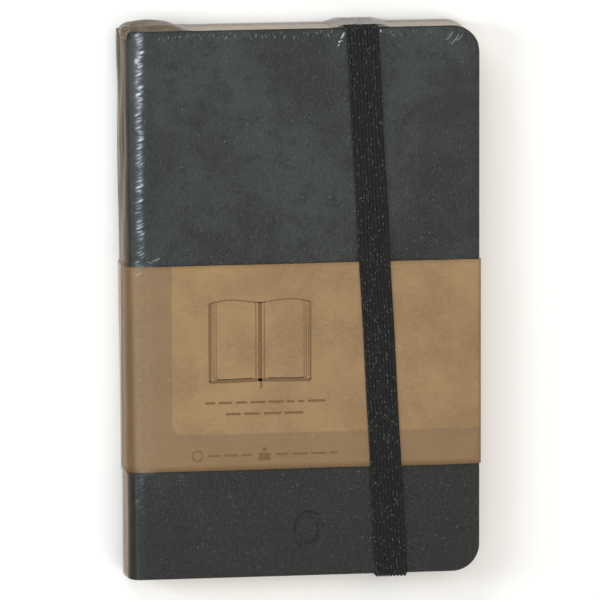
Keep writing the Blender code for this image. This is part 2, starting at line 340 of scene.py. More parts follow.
def kraft_finish():
    p = Pattern("kraft_card")
    pulp = p.noise(1.1, 6, 0.7)
    colour = p.mix(p.between(p.noise(0.08, 4, 0.6), 0.3, 0.7), srgb(126, 96, 59), srgb(146, 114, 72))
    colour = p.tint(colour, p.times(p.between(pulp, 0.35, 0.7), 0.35), 160, 128, 83)
    for turn, scale in ((8, 0.9), (74, 1.1), (128, 1.0)):
        fibre = p.noise(2.4 * scale, 2, 0.5, p.stretch((0.22, 1.6, 0.8), turn), 0.4)
        colour = p.tint(colour, p.between(fibre, 0.66, 0.74, 0.0, 0.30), 112, 84, 56)
        colour = p.tint(colour, p.between(fibre, 0.30, 0.24, 0.0, 0.25), 196, 170, 134)
    colour = p.tint(colour, p.times(p.spots(0.3, 0.03, 0.10), 0.5), 92, 66, 42)
    # The lighter printed panel: right of PANEL_LEFT and above PANEL_LOW, with a round corner.
    dx, dy = (p.math("MAXIMUM", p.math("SUBTRACT", edge / MM + PANEL_CORNER / MM, p.axis(letter)), 0.0)
              for edge, letter in ((PANEL_LEFT, "X"), (PANEL_LOW, "Y")))
    far = p.math("SQRT", p.plus(p.times(dx, dx), p.times(dy, dy)))
    off = p.math("SUBTRACT", far, PANEL_CORNER / MM)
    front = p.between(p.axis("Z"), 14.9, 15.1)
    panel = p.times(p.between(off, -0.25, 0.25, 1.0, 0.0), front)
    colour = p.tint(colour, p.times(p.math("SUBTRACT", 1.0, panel), 0.62), 116, 89, 58)
    rim = p.times(p.between(p.math("ABSOLUTE", off), 0.1, 0.45, 1.0, 0.0), front)
    colour = p.tint(colour, p.times(rim, 0.20), 104, 78, 52)
    fuzz = p.plus(p.times(p.noise(3.2, 4, 0.7), 0.7), p.times(pulp, 0.5))
    p.put(Coat_Normal=p.bump(p.noise(0.35, 2, 0.5, p.stretch((0.5, 1.0, 1.0))), 0.5, 0.0004))
    return p.finish(colour, p.between(pulp, 0.2, 0.8, 0.62, 0.8), p.bump(fuzz, 0.35, 0.00006),
                    coat=0.22, coat_rough=0.2)


def elastic_finish():
    p = Pattern("woven_elastic")
    threads = p.noise(1.6, 3, 0.6, p.stretch((3.0, 0.5, 3.0)))
    colour = p.mix(p.between(threads, 0.35, 0.65), srgb(5, 6, 5), srgb(16, 18, 16))
    picks = p.wave(1.05, "Y", 1.6)
    colour = p.tint(colour, p.times(picks, 0.3), 28, 30, 27)
    flecks = p.times(p.spots(1.25, 0.05, 0.30, p.stretch((1.5, 0.7, 1.5))),
                     p.between(p.noise(0.5, 2), 0.34, 0.5, 0.2, 0.9))
    colour = p.tint(colour, flecks, 112, 116, 108)
    weave = p.plus(p.times(picks, 0.6), p.times(p.noise(4.0, 3, 0.6), 0.6))
    return p.finish(colour, p.between(threads, 0.3, 0.7, 0.6, 0.8), p.bump(weave, 0.7, 0.00015),
                    specular=0.3, coat=0.04, coat_rough=0.3, sheen=0.03)


def ribbon_finish():
    p = Pattern("ribbon_brown")
    rows = p.wave(3.2, "Y", 0.4)
    colour = p.mix(rows, srgb(58, 42, 32), srgb(82, 62, 48))
    colour = p.tint(colour, p.between(p.noise(2.0, 3), 0.4, 0.7, 0.0, 0.3), 100, 80, 64)
    return p.finish(colour, p.between(rows, 0, 1, 0.42, 0.58), p.bump(rows, 0.4, 0.00005), sheen=0.2)


def thread_finish():
    p = Pattern("linen_thread")
    twist = p.wave(4.0, "DIAGONAL", 0.5)
    colour = p.mix(twist, srgb(208, 200, 182), srgb(232, 226, 210))
    return p.finish(colour, p.between(twist, 0, 1, 0.7, 0.85), p.bump(twist, 0.5, 0.00006))


def cloth_finish():
    p = Pattern("lining_cloth")
    mesh = p.math("MAXIMUM", p.wave(2.2, "Y", 0.6), p.wave(2.2, "Z", 0.6))
    colour = p.mix(mesh, srgb(188, 182, 166), srgb(222, 216, 202))
    return p.finish(colour, p.between(mesh, 0, 1, 0.82, 0.92), p.bump(mesh, 0.5, 0.00008))


def board_finish():
    p = Pattern("grey_board")
    pulp = p.noise(2.0, 6, 0.7)
    colour = p.mix(p.between(pulp, 0.3, 0.7), srgb(128, 124, 116), srgb(160, 156, 146))
    colour = p.tint(colour, p.times(p.spots(0.8, 0.04, 0.12), 0.5), 84, 80, 76)
    return p.finish(colour, p.between(pulp, 0.2, 0.8, 0.82, 0.95), p.bump(pulp, 0.4, 0.0001))


def ink_finish():
    p = Pattern("brown_ink")
    # In the ink this pattern is only its uneven wear.
    wear_and_painted_shade = p.noise(2.6, 4, 0.7)
    colour = p.mix(p.between(wear_and_painted_shade, 0.35, 0.65), srgb(100, 73, 43), srgb(122, 94, 61))
    return p.finish(colour, p.between(wear_and_painted_shade, 0.2, 0.8, 0.55, 0.75), p.bump(wear_and_painted_shade, 0.2, 0.00003), specular=0.3)


THIN_FILM_IOR = 1.18  # a thin film mirrors less at a slant than a solid sheet of the same plastic


def film_finish(name, alpha, pale, dark, flow=(1.0, 1.0, 1.0), ior=THIN_FILM_IOR, specular=0.2):
    p = Pattern(name)
    crumple = p.noise(0.7, 4, 0.6, p.stretch(flow), 0.6)
    colour = p.mix(p.between(crumple, 0.35, 0.65), dark, pale)
    folds = p.noise(0.9, 3, 0.5, p.stretch(flow), 0.8)
    p.put(Alpha=alpha, IOR=ior)
    return p.finish(colour, p.between(crumple, 0.3, 0.7, 0.10, 0.24), p.bump(folds, 0.6, 0.0002), specular)


def spine_film_finish():
    """Clear film: dark down the spine's side, with a painted glow of light on the shoulder and painted white
    glints along its creases.
    """
    p = Pattern("clear_film")
    shares = p.split(p.attribute("film"))
    crest, painted_glow, side = (shares[n] for n in range(3))
    y, z = p.axis("Y"), p.axis("Z")
    band = p.times(p.between(y, BAND_LOW.y / MM - 0.4, BAND_LOW.y / MM + 0.2),
                   p.between(y, BAND_HIGH.y / MM - 0.2, BAND_HIGH.y / MM + 0.4, 1.0, 0.0))
    brown = p.mix(p.between(z, 3.5, 13.0), srgb(76, 66, 53), srgb(64, 57, 48))
    brown = p.tint(brown, p.between(z, 12.6, 14.1), 44, 42, 39)
    streaks = p.noise(0.8, 4, 0.6, p.stretch((1.0, 0.25, 1.4)), 0.8)
    brown = p.tint(brown, p.between(streaks, 0.4, 0.65, 0.0, 0.35), 76, 67, 56)
    brown = p.tint(brown, p.times(band, 0.85), 110, 83, 53)
    # Painted highlight: the glow is blue-grey on the shoulder and pale kraft over the band, and it shows
    # through the opacity below, broken up by a cloud.
    grey = p.mix(band, srgb(102, 109, 116), srgb(174, 153, 124))
    # Painted highlight: the creases are tinted near white as glints.
    colour = p.tint(p.mix(side, grey, brown), crest, 228, 236, 244)
    cloud = p.between(p.noise(0.9, 3, 0.6, distort=0.5), 0.3, 0.7, 0.55, 1.3)
    cover = p.math("MAXIMUM", p.times(side, p.math("SUBTRACT", 0.80, p.times(band, 0.42))),
                   p.times(p.times(painted_glow, cloud), 0.5))
    rough = p.plus(p.between(streaks, 0.3, 0.7, 0.12, 0.26), p.times(side, 0.4))
    # The painted glints on the creases are made more opaque as well.
    p.put(Alpha=p.math("ADD", cover, p.times(crest, 0.5), clamp=True), IOR=THIN_FILM_IOR)
    # The sheen shows only at a slant, so the spine looks dusty beside the cover and dark when it is faced.
    p.put(Sheen_Roughness=0.35, Sheen_Tint=(0.92, 0.76, 0.59, 1.0))
    return p.finish(colour, rough, p.bump(p.noise(1.6, 3, 0.6, distort=0.8), 0.5, 0.0002), 0.12, sheen=1.0)


LEATHER = leather_finish()
KRAFT = kraft_finish()
ELASTIC = elastic_finish()
ENDPAPER = paper_finish("endpaper", srgb(226, 214, 190), srgb(204, 190, 164))
PAGES = paper_finish("page_paper", srgb(222, 209, 184), srgb(196, 181, 154), lines=True)
CARD = paper_finish("pocket_card", srgb(206, 192, 166), srgb(182, 166, 138))
RIBBON = ribbon_finish()
THREAD = thread_finish()
CLOTH = cloth_finish()
BOARD = board_finish()
INK = ink_finish()
SPINE_FILM = spine_film_finish()
HEAD_FILM = film_finish("stretched_film", 0.70, srgb(165, 145, 117), srgb(152, 132, 106),
                        (0.1, 1.0, 1.8), 1.3, 0.4)
FOLDED_FILM = film_finish("gathered_film", 0.72, srgb(124, 107, 89), srgb(92, 76, 60),
                          (0.3, 0.6, 1.2), 1.42, 0.5)
# Painted highlight: near-white film for glints on the creases beside the strap.
PAINTED_GLINT_FILM = film_finish("film_painted_glints", 0.72, srgb(214, 224, 232), srgb(140, 152, 162))
# Painted highlight: pale kraft film for glints on the creases over the band.
CARD_PAINTED_GLINT_FILM = film_finish("film_on_card_painted_glints", 0.4, srgb(196, 172, 140), srgb(172, 146, 112))
# Painted highlight: faint pale streaks for glints on the film's creases at the corner, beside the band's top
# and along the head edge.
FAINT_PAINTED_GLINT_FILM = film_finish("film_painted_faint_glints", 0.34, srgb(190, 194, 194), srgb(150, 154, 154))

# ---- the camera
camera_data = bpy.data.cameras.new("camera")
camera_data.lens = 590.97
camera_data.sensor_width = 36.0
camera_data.clip_end = 20.0
camera = added("camera", camera_data)
camera.location = (-0.38604, 0.37029, 2.45010)
camera.rotation_euler = [math.radians(a) for a in (-8.5, -9.0, -0.133)]
bpy.context.scene.camera = camera


# ---- covers
EDGE_ROLL = 0.6 * MM  # the skin's radius over a board's outer edge
INNER_ROLL = 0.45 * MM
TURN_IN = 2.6 * MM
SPINE_SKIN = 1.0 * MM  # the skin's depth on the spine, where no board lies under it
# The pressed oval ring: its middle, half width, half height, line width and depth.
RING_X, RING_Y, RING_WIDE, RING_TALL, RING_LINE, RING_DEPTH = (
    v * MM for v in (1.0, -58.3, 3.5, 4.6, 0.62, 0.30))
RING_MARGIN = 1.2 * MM


def fore_edge(y, right, half, corner):
    """The fore edge's x at a height up the cover, round corners included."""
    over = abs(y) - (half - corner)
    return right if over <= 0 else right - corner + math.sqrt(max(0.0, corner ** 2 - over ** 2))


def merged(stations, nearest):
    """Sorted stations, both ends kept, without any that crowd their neighbour."""
    stations = sorted(stations)
    kept = [stations[0]]
    for station in stations[1:-1]:
        if station - kept[-1] >= nearest and stations[-1] - station >= nearest:
            kept.append(station)
    return kept + [stations[-1]]


def cover_rows(edge):
    """Stations up the cover, with the fore edge's x at each, for an outline drawn in by edge."""
    right, half, corner = RIGHT - edge, HALF - edge, CORNER - edge
    turn = [corner * (1 - math.cos(math.radians(7.5 * n))) for n in range(13)]
    reach = RING_TALL + RING_MARGIN
    stations = [sign * (half - rise) for sign in (-1, 1) for rise in turn]
    stations += spread(corner - half, half - corner, 1.6 * MM)
    stations += spread(RING_Y - reach, RING_Y + reach, 0.25 * MM)
    return [(y, fore_edge(y, right, half, corner)) for y in merged(stations, 0.05 * MM)]


def cover_columns(side):
    """The skin's section as (x, depth, how far to stretch to the fore edge): up the spine, round, across."""
    start = abs((FRONT_FACE if side == "front" else BACK_FACE) - SEAM_Z)
    up = [(LEFT, w) for w in spread(start, SHOULDER, 0.8 * MM)[:-1]] if start > SHOULDER else [(LEFT, start)]
    turn = arc((LEFT + SHOULDER, SHOULDER), SHOULDER, 180, 270, 12)
    near, reach = turn[-1][0], RING_WIDE + RING_MARGIN
    places = (near, near + 6 * MM, RING_X - reach, RING_X + reach, RIGHT - CORNER - 1 * MM)
    flat = []
    for low, high, step in zip(places, places[1:], (0.6, 1.8, 0.25, 1.8)):
        flat += spread(low, high, step * MM)[1:]
    columns = [(x, w, 0.0) for x, w in up + turn] + [(x, 0.0, 0.0) for x in flat]
    return columns + [(flat[-1], 0.0, n / 8) for n in range(1, 9)]


def ring_depth(x, y):
    """How deep the plain oval ring is pressed into the skin at a point."""
    away = math.hypot((x - RING_X) / RING_WIDE, (y - RING_Y) / RING_TALL)
    across = abs(away - 0.88) * min(RING_WIDE, RING_TALL)
    return RING_DEPTH * (1 - smooth_step(RING_LINE * 0.6, RING_LINE * 1.5, across))


def strap_groove(x, y):
    """The back cover gives under the strap's run between each slit and the cover's edge."""
    low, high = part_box("elastic_head_anchor" if y > 0 else "elastic_tail_anchor")
    inside = plateau(low.x - 0.7 * MM, low.x - 0.1 * MM, high.x + 0.1 * MM, high.x + 0.7 * MM, x)
    return 0.45 * MM * inside * smooth_step(HALF - 10.0 * MM, HALF - 9.4 * MM, abs(y))


def edge_section(thick):
    """The skin over a cover's edge as (out, down): over the roll, down the side, under, and inwards."""
    turns = [math.radians(a) for a in range(15, 91, 15)]
    section = [(EDGE_ROLL * math.sin(a), EDGE_ROLL * (1 - math.cos(a))) for a in turns]
    inner = min(INNER_ROLL, (thick - EDGE_ROLL) * 0.95)
    for a in [0.0] + turns:
        section.append((EDGE_ROLL - inner * (1 - math.cos(a)), thick - inner + inner * math.sin(a)))
    return section + [(EDGE_ROLL - inner - TURN_IN * n / 4, thick) for n in range(1, 5)]


def cover_skin(side):
    """One half of the skin: over part of the spine, round a shoulder, over the board and round its edges."""
    sign, face = (1, FRONT_FACE) if side == "front" else (-1, BACK_FACE)
    rows, columns = cover_rows(EDGE_ROLL), cover_columns(side)
    points, normals, sections = [], [], []
    for y, reach in rows:
        for x, w, t in columns:
            x = x + (reach - x) * t
            normal = Vector((0, 0, sign))
            if x < LEFT + SHOULDER:
                away = Vector((x - LEFT - SHOULDER, 0, SHOULDER - w if w < SHOULDER else 0)).normalized()
                normal = Vector((away.x, 0, sign * away.z))
            board = smooth_step(LEFT + SHOULDER, LEFT + 2.5 * SHOULDER, x)
            uneven = 0.05 * wobble(x * 30, y * 30, 6.0 - 3.0 * sign) + 0.012 * wobble(x * 140, y * 140, 5.0)
            pressed = ring_depth(x, y) if side == "front" else strap_groove(x, y)
            down = (uneven + 0.05) * MM + pressed
            points.append(Vector((x, y, face - sign * w)) - normal * down)
            normals.append(normal)
            sections.append(edge_section(SPINE_SKIN + (COVER_DEPTH - SPINE_SKIN) * board))
    wide, last = len(columns), len(rows) - 1
    faces = grid_faces(len(rows), wide, flip=sign < 0)
    # The border, from the spine's tail end round the fore edge to the spine's head end.
    border = [(j, Vector((0, -1, 0))) for j in range(wide)]
    for k in range(2 * wide - 1, last * wide, wide):
        run = points[k + wide] - points[k - wide]
        run = Vector((run.x, run.y, 0)).normalized()
        border.append((k, Vector((run.y, -run.x, 0))))
    border += [(last * wide + j, Vector((0, 1, 0))) for j in reversed(range(wide))]
    previous = [k for k, _ in border]
    for step in range(len(sections[0])):
        ring = []
        for k, out in border:
            across, below = sections[k][step]
            ring.append(len(points))
            points.append(points[k] + out * across - normals[k] * below)
        for n in range(len(border) - 1):
            quad = (previous[n], ring[n], ring[n + 1], previous[n + 1])
            faces.append(quad if sign > 0 else quad[::-1])
        previous = ring
    made = piece(f"{side}_leather_cover", points, faces, LEATHER, sharp=60)
    return bend_at_shoulder(thicken(made, 0.25 * MM))


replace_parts(cover_skin("front"), "front_cover_skin", "spine_skin")
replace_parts(cover_skin("back"), "back_cover_skin")


# ---- kraft band
def band_wrap(side):
    """Half of the band: from the seam on the spine, over the cover, round its fore edge and tucked in."""
    low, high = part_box(f"band_{side}_panel")
    sign, outer, face = (1, high.z, FRONT_FACE) if side == "front" else (-1, low.z, BACK_FACE)
    drop = high.z - low.z
    radius = SHOULDER + sign * (outer - face)
    middle, fold = LEFT + SHOULDER, 1.1 * MM
    path = [(middle - radius, w) for w in spread(abs(outer - SEAM_Z), radius, 0.8 * MM)[:-1]]
    path += arc((middle, radius), radius, 180, 270, 12)
    path += [(x, 0.0) for x in spread(middle, high.x - fold, 1.5 * MM)[1:]]
    path += arc((high.x - fold, fold), fold, -90, 0, 8)[1:]
    path += arc((high.x - fold, drop - fold), fold, 0, 90, 8)[1:]
    path += [(x, drop) for x in spread(low.x + 58.0 * MM, high.x - fold, 2.5 * MM)[::-1][1:]]
    rows = spread(low.y, high.y, 1.6 * MM)
    points = []
    for y in rows:
        for n, (x, w) in enumerate(path):
            lift = 0.03 * MM * wobble(x * 45, y * 45, 2.0 + sign)
            sway = 0.10 * MM * wobble(n * 0.07, 0.5 if y > 0 else 7.5, sign)
            edge = sway * smooth_step(0.3, 1.0, abs(2 * (y - low.y) / (high.y - low.y) - 1))
            points.append(Vector((x, y + edge, outer - sign * (w + abs(lift)))))
    faces = grid_faces(len(rows), len(path), flip=sign < 0)
    made = piece(f"band_{side}_wrap", points, faces, KRAFT, sharp=60)
    return bend_at_shoulder(thicken(made, (BAND_HIGH.z - FRONT_FACE - 0.1 * MM) * 0.93))


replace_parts(band_wrap("front"), "band_front_panel", "band_spine_panel")
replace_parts(band_wrap("back"), "band_back_panel")


# ---- print on the band, with outlines in millimetres
def on_panel(a, b, rise):
    return Vector((a, b, BAND_HIGH.z + rise))


def on_spine(a, b, rise):
    return Vector((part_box("band_spine_panel")[0].x - rise, a, b))


def ink(name, outlines, place, body):
    """Flat ink: each outline becomes a thin closed solid on one of the band's faces."""
    points, faces = [], []
    for outline in outlines:
        start, count = len(points), len(outline)
        for rise in (0.004 * MM, 0.024 * MM):
            points += [place(a * MM, b * MM, rise) for a, b in outline]
        solid = [tuple(range(start + count, start + 2 * count)), tuple(reversed(range(start, start + count)))]
        for n in range(count):
            after = (n + 1) % count
            solid.append((start + n, start + after, start + count + after, start + count + n))
        faces += solid if place is on_panel else [face[::-1] for face in solid]
    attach(piece(name, points, faces, INK, smooth=False), body)


def bar(x, y, length, height):
    """A round-ended bar, as an outline."""
    r = height / 2
    return arc((x + length - r, y), r, -90, 90, 6) + arc((x + r, y), r, 90, 270, 6)


def stroke(points, width):
    """An open line of even width, as an outline."""
    left, right = [], []
    for n, (x, y) in enumerate(points):
        a, b = points[max(n - 1, 0)], points[min(n + 1, len(points) - 1)]
        run = math.hypot(b[0] - a[0], b[1] - a[1])
        dx, dy = (a[1] - b[1]) / run * width / 2, (b[0] - a[0]) / run * width / 2
        left.append((x + dx, y + dy))
        right.append((x - dx, y - dy))
    return right + left[::-1]


def text_bars(seed, left, right, y, height):
    """A row of plain bars in place of words."""
    random.seed(seed)
    found, x = [], left
    while x < right - 1.2:
        length = min(random.uniform(1.8, 5.2), right - x)
        found.append(bar(x, y, length, height * 0.42))
        x += length + 0.75
    return found


def open_book():
    """A generic open notebook in line: two blocks of leaves, a dark gutter and a ribbon end."""
    cx, cy, w, h, line = -11.5, -9.2, 12.9, 10.3, 0.32
    shapes = []
    for s in (-1, 1):
        top = [(w * t, h - 0.5 + 0.8 * math.sin(math.pi * t ** 1.3)) for t in spread(0, 1, 1 / 12)]
        strokes = [(top, 1), ([top[-1], (w, -h)], 2.0 if s < 0 else 1.4),
                   ([(w, -h), (w / 2, 0.1 - h), (0, 0.3 - h)], 2.4)]
        for inset in (0.55, 1.1, 1.65):
            x = w - inset
            strokes.append(([(x, top[-2][1]), (x, 1.1 - h), (x - 0.9, 0.55 - h), (2, 0.75 - h)], 0.55))
        strokes.append(([(1.1, h - 0.4), (1.1, 0.5 - h)], 0.7))
        for points, weight in strokes:
            shapes.append(stroke([(cx + s * x, cy + y) for x, y in points], line * weight))
    shapes.append(stroke([(cx, cy + h - 0.4), (cx, cy - h)], line * 3.2))
    shapes.append(stroke([(cx + 0.1, cy - h), (cx + 0.35, cy - h - 1.0), (cx + 0.15, cy - h - 1.9)], 0.55))
    return shapes


def footer():
    """Two small plain signs, a ring and a dot over a block, each with a bar beside it."""
    y = -38.4
    shapes = [arc((-27.6, y), 1.5, 0, 352, 22) + arc((-27.6, y), 1.15, 352, 0, 22),
              [(-11.9, y - 1.5), (-8.9, y - 1.5), (-8.9, y + 0.5), (-11.9, y + 0.5)],
              arc((-10.4, y + 1.35), 0.55, 0, 345, 15)]
    return shapes + text_bars(11, -25.0, -13.6, y, 1.3) + text_bars(12, -7.5, 8.4, y, 1.3)


ink("band_print_book", open_book(), on_panel, "front_cover")
ink("band_print_lines", text_bars(3, -25.6, 6.2, -24.9, 1.5) + text_bars(5, -20.4, 1.2, -27.8, 1.5),
    on_panel, "front_cover")
ink("band_print_footer", footer(), on_panel, "front_cover")
ink("band_print_spine",
    [arc((-2.0, 8.2), 1.3, 0, 345, 20), bar(-14.0, 8.2, 4.6, 1.5), bar(-8.6, 8.2, 2.4, 1.5)],
    on_spine, "spine_block")


# ---- elastic strap
HEAD_LOW, HEAD_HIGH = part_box("elastic_head_leg")
TAIL_LOW, TAIL_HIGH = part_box("elastic_tail_leg")
HEAD_X = (HEAD_LOW.x + HEAD_HIGH.x) / 2
TAIL_X = (TAIL_LOW.x + TAIL_HIGH.x) / 2
STRAP_WIDTH = HEAD_HIGH.x - HEAD_LOW.x
STRAP_THICKNESS = 0.62 * MM
STRAP_SIDE = HALF + 0.15 * MM + STRAP_THICKNESS / 2  # the legs' middle, beyond the head and the tail
RIBS = 9


def strap_section():
    """The strap's woven section as (across, up): ribs on the outer face, a plainer inner face."""
    outer, inner = [], []
    for n in range(RIBS * 8 + 1):
        t = n / (RIBS * 8)
        edge = 1 - 0.55 * smooth_step(0.90, 1.0, abs(2 * t - 1))
        rib = 0.26 * MM * (0.5 - 0.5 * math.cos(2 * math.pi * RIBS * t))
        outer.append((STRAP_WIDTH * (t - 0.5), (STRAP_THICKNESS / 2 - 0.14 * MM + rib) * edge))
    for n in range(17):
        edge = 1 - 0.55 * smooth_step(0.85, 1.0, abs(n / 8 - 1))
        inner.append((STRAP_WIDTH * (0.5 - n / 16), -STRAP_THICKNESS / 2 * edge))
    return outer + inner


def strap_tube(name, path, centre_of, flip=False):
    """The section swept along a path of (y, z) points, with the strap's centre in x at each."""
    section = strap_section()
    points, faces = [], []
    for n, (y, z) in enumerate(path):
        a, b = path[max(n - 1, 0)], path[min(n + 1, len(path) - 1)]
        run = math.hypot(b[0] - a[0], b[1] - a[1])
        dy, dz = (a[1] - b[1]) / run, (b[0] - a[0]) / run
        points += [Vector((centre_of(y) + across, y + dy * lift, z + dz * lift)) for across, lift in section]
    count = len(section)
    for i in range(len(path) - 1):
        for j in range(count):
            a, b = i * count + j, i * count + (j + 1) % count
            faces.append((a, b, b + count, a + count))
    faces += [tuple(reversed(range(count))), tuple(range(len(points) - count, len(points)))]
    if flip:
        faces = [face[::-1] for face in faces]
    return piece(name, points, faces, ELASTIC, sharp=50)


def strap_x(y):
    """The strap leans a little between its two ends."""
    share = (min(HALF, max(-HALF, y)) + HALF) / (2 * HALF)
    return TAIL_X + (HEAD_X - TAIL_X) * share + 0.12 * MM * wobble(y * 60, 4.0, 1.0)


def strap_run_z(y):
    """The run lies on the skin, and climbs over the band."""
    skin = FRONT_FACE + STRAP_THICKNESS / 2 + 0.06 * MM
    band = BAND_HIGH.z + STRAP_THICKNESS / 2 + 0.05 * MM
    return skin + (band - skin) * plateau(BAND_LOW.y - 2.2 * MM, BAND_LOW.y + 0.1 * MM,
                                          BAND_HIGH.y - 0.1 * MM, BAND_HIGH.y + 2.2 * MM, y)


def strap_loop():
    """Up the tail, over the front, and down the head, in one piece."""
    side, fold = STRAP_SIDE, 0.9 * MM
    top_tail, top_head = strap_run_z(-HALF), strap_run_z(HALF)
    path = [(-side, z) for z in spread(0.9 * MM, top_tail - fold, 0.8 * MM)]
    path += arc((-side + fold, top_tail - fold), fold, 180, 90, 10)[1:]
    path += [(y, strap_run_z(y)) for y in spread(-side + fold, side - fold, 0.9 * MM)[1:-1]]
    path += arc((side - fold, top_head - fold), fold, 90, 0, 10)
    path += [(side, z) for z in spread(0.9 * MM, top_head - fold, 0.8 * MM)[::-1][1:]]
    made = strap_tube("elastic_strap_loop", path, strap_x)
    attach(made, "elastic_strap")
    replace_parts(made, "elastic_front_run", "elastic_head_leg", "elastic_tail_leg")
    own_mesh(made)


def strap_back_run(end, sign):
    """From the leg, round the back cover's edge, to the slit and through it."""
    low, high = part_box(f"elastic_{end}_anchor")
    centre = (low.x + high.x) / 2
    flat, slit, turn = 0.42 * MM, HALF - 8.9 * MM, 0.5 * MM
    path = [(STRAP_SIDE, 0.95 * MM)] + arc((STRAP_SIDE - turn, flat + turn), turn, 0, -90, 6)
    path += [(y, flat) for y in spread(slit + 0.6 * MM, STRAP_SIDE - 0.6 * MM, 0.9 * MM)[::-1]]
    path += arc((slit + turn, flat + turn), turn, -90, -180, 6) + [(slit, high.z)]
    path = [(sign * y, z) for y, z in path]
    made = strap_tube(f"elastic_{end}_back_run", path, lambda y: centre, flip=sign > 0)
    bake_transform(made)
    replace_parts(made, f"elastic_{end}_anchor")


strap_loop()
strap_back_run("head", 1)
strap_back_run("tail", -1)


# ---- paper
LEAVES = 8  # in each folded section
PAGE_CORNER = CORNER - 0.4 * MM


def leaf_rows(half, right, corner):
    """Stations up a leaf, with the fore edge's x at each, round corners included."""
    low = arc((right - corner, corner - half), corner, -90, 0, 7)
    high = arc((right - corner, half - corner), corner, 0, 90, 7)
    middle = spread(low[-1][1], high[0][1], 15 * MM)[1:-1]
    return [(y, x) for x, y in low] + [(y, right) for y in middle] + [(y, x) for x, y in high]


def leaf_columns(near):
    """Columns as (x, share of the rest of the width): near the fold as given, and wide apart beyond."""
    return [(x, 0.0) for x in near] + [(near[-1], t) for t in (0.25, 0.5, 0.75, 1.0)]


def add_leaf(points, faces, columns, rows, low, high):
    """A closed leaf: upper and lower grids joined round the border."""
    start = len(points)
    wide, tall = len(columns), len(rows)
    for z in (high, low):
        points += [Vector((x + (reach - x) * t, y, z)) for y, reach in rows for x, t in columns]
    size = wide * tall
    faces += grid_faces(tall, wide, start)
    faces += grid_faces(tall, wide, start + size, flip=True)
    loop = list(range(wide)) + [i * wide + wide - 1 for i in range(1, tall)]
    loop += [(tall - 1) * wide + j for j in reversed(range(wide - 1))]
    loop += [i * wide for i in reversed(range(1, tall - 1))]
    for n, k in enumerate(loop):
        after = loop[(n + 1) % len(loop)]
        faces.append((start + size + k, start + size + after, start + after, start + k))


def turn_at_fold(made, node):
    """Leaves of the block's own body ride with the block; the others have their place baked into their
    points.
    """
    low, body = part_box(node)[0], nodes[node]["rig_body"]
    if body == "spine_block":
        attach(made, body)
    else:
        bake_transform(made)
    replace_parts(made, node)


def section_piece(number):
    """A folded section as its separate leaves, none quite flush with the next."""
    node = f"section_{number:02d}"
    low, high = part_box(node)
    random.seed(100 + number)
    pitch = (high.z - low.z + 0.09 * MM) / LEAVES
    points, faces = [], []
    for n in range(LEAVES):
        out = random.uniform(-0.10, 0.06) * MM
        up = random.uniform(-0.06, 0.06) * MM
        left = low.x + 0.14 * MM * abs(2 * (n + 0.5) / LEAVES - 1) ** 2
        near = [left, left + 12 * MM]
        if nodes[node]["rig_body"] != "spine_block":
            near = spread(*near, 0.75 * MM)
        z = low.z + pitch * n
        rows = leaf_rows(high.y - 0.08 * MM + up, high.x + out, PAGE_CORNER)
        add_leaf(points, faces, leaf_columns(near), rows, z, z + pitch * 0.86)
    turn_at_fold(piece(f"{node}_leaves", points, faces, PAGES, smooth=False), node)


def endpaper_sheet(node, near, corner):
    low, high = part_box(node)
    points, faces = [], []
    add_leaf(points, faces, leaf_columns(near), leaf_rows(high.y, high.x, corner), low.z, high.z)
    return piece(f"{node}_sheet", points, faces, ENDPAPER, smooth=False)


def pastedown_piece(side):
    """The endpaper's glued half: from the block's back, over the hinge, to the cover's inner face."""
    node = f"{side}_pastedown"
    low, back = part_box(node)[0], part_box("rear_flyleaf")[0].x
    made = endpaper_sheet(node, spread(back, low.x + 8 * MM, 0.5 * MM), CORNER - 3.1 * MM)
    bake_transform(made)
    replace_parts(made, node)


for section in range(1, 11):
    section_piece(section)
for flyleaf in ("front_flyleaf", "rear_flyleaf"):
    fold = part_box(flyleaf)[0].x
    turn_at_fold(endpaper_sheet(flyleaf, spread(fold, fold + 12 * MM, 0.75 * MM), PAGE_CORNER), flyleaf)
pastedown_piece("front")
pastedown_piece("back")


# ---- ribbon marker
def ribbon_piece():
    """Glued to the block's spine, over its head, turning flat to lie between two sections."""
    root_low, root_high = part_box("ribbon_root")
    tail_low, tail_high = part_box("ribbon_tail")
    width = root_high.z - root_low.z
    middle = (tail_low.z + tail_high.z) / 2
    lane = tail_high.x - width / 2
    glue_x = (root_low.x + root_high.x) / 2
    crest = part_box("section_05")[1].y + 0.32 * MM
    # Each station: a point, and the direction of the ribbon's width there.
    upright, flat = Vector((0, 0, 1)), Vector((1, 0, 0))
    glued = spread(root_low.y, root_high.y - 0.5 * MM, 1.2 * MM)
    stations = [(Vector((glue_x, y, middle)), upright) for y in glued]
    for t in (n / 15 for n in range(1, 15)):
        x = glue_x + (lane - glue_x) * smooth_step(0, 1, t)
        turn = math.radians(90) * smooth_step(0.1, 0.9, t)
        stations.append((Vector((x, crest + 0.9 * MM * math.sin(math.pi * t), middle)),
                         upright * math.cos(turn) + flat * math.sin(turn)))
    for y in spread(tail_low.y, tail_high.y - 1.5 * MM, 2.5 * MM)[::-1]:
        stations.append((Vector((lane + 0.25 * MM * wobble(y * 25, 1.5, 2.5), y, middle)), flat))
    shares = [n / 6 - 0.5 for n in range(7)]
    points = [point + across * width * share for point, across in stations for share in shares]
    made = piece("ribbon_marker", points, grid_faces(len(stations), len(shares)), RIBBON, sharp=80)
    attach(thicken(made, 0.16 * MM, 0), "spine_block")
    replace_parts(made, "ribbon_root", "ribbon_tail")


ribbon_piece()

# ---- shrink film
CREST_U = 4.7 * MM  # the line along the shoulder where the film is gathered most
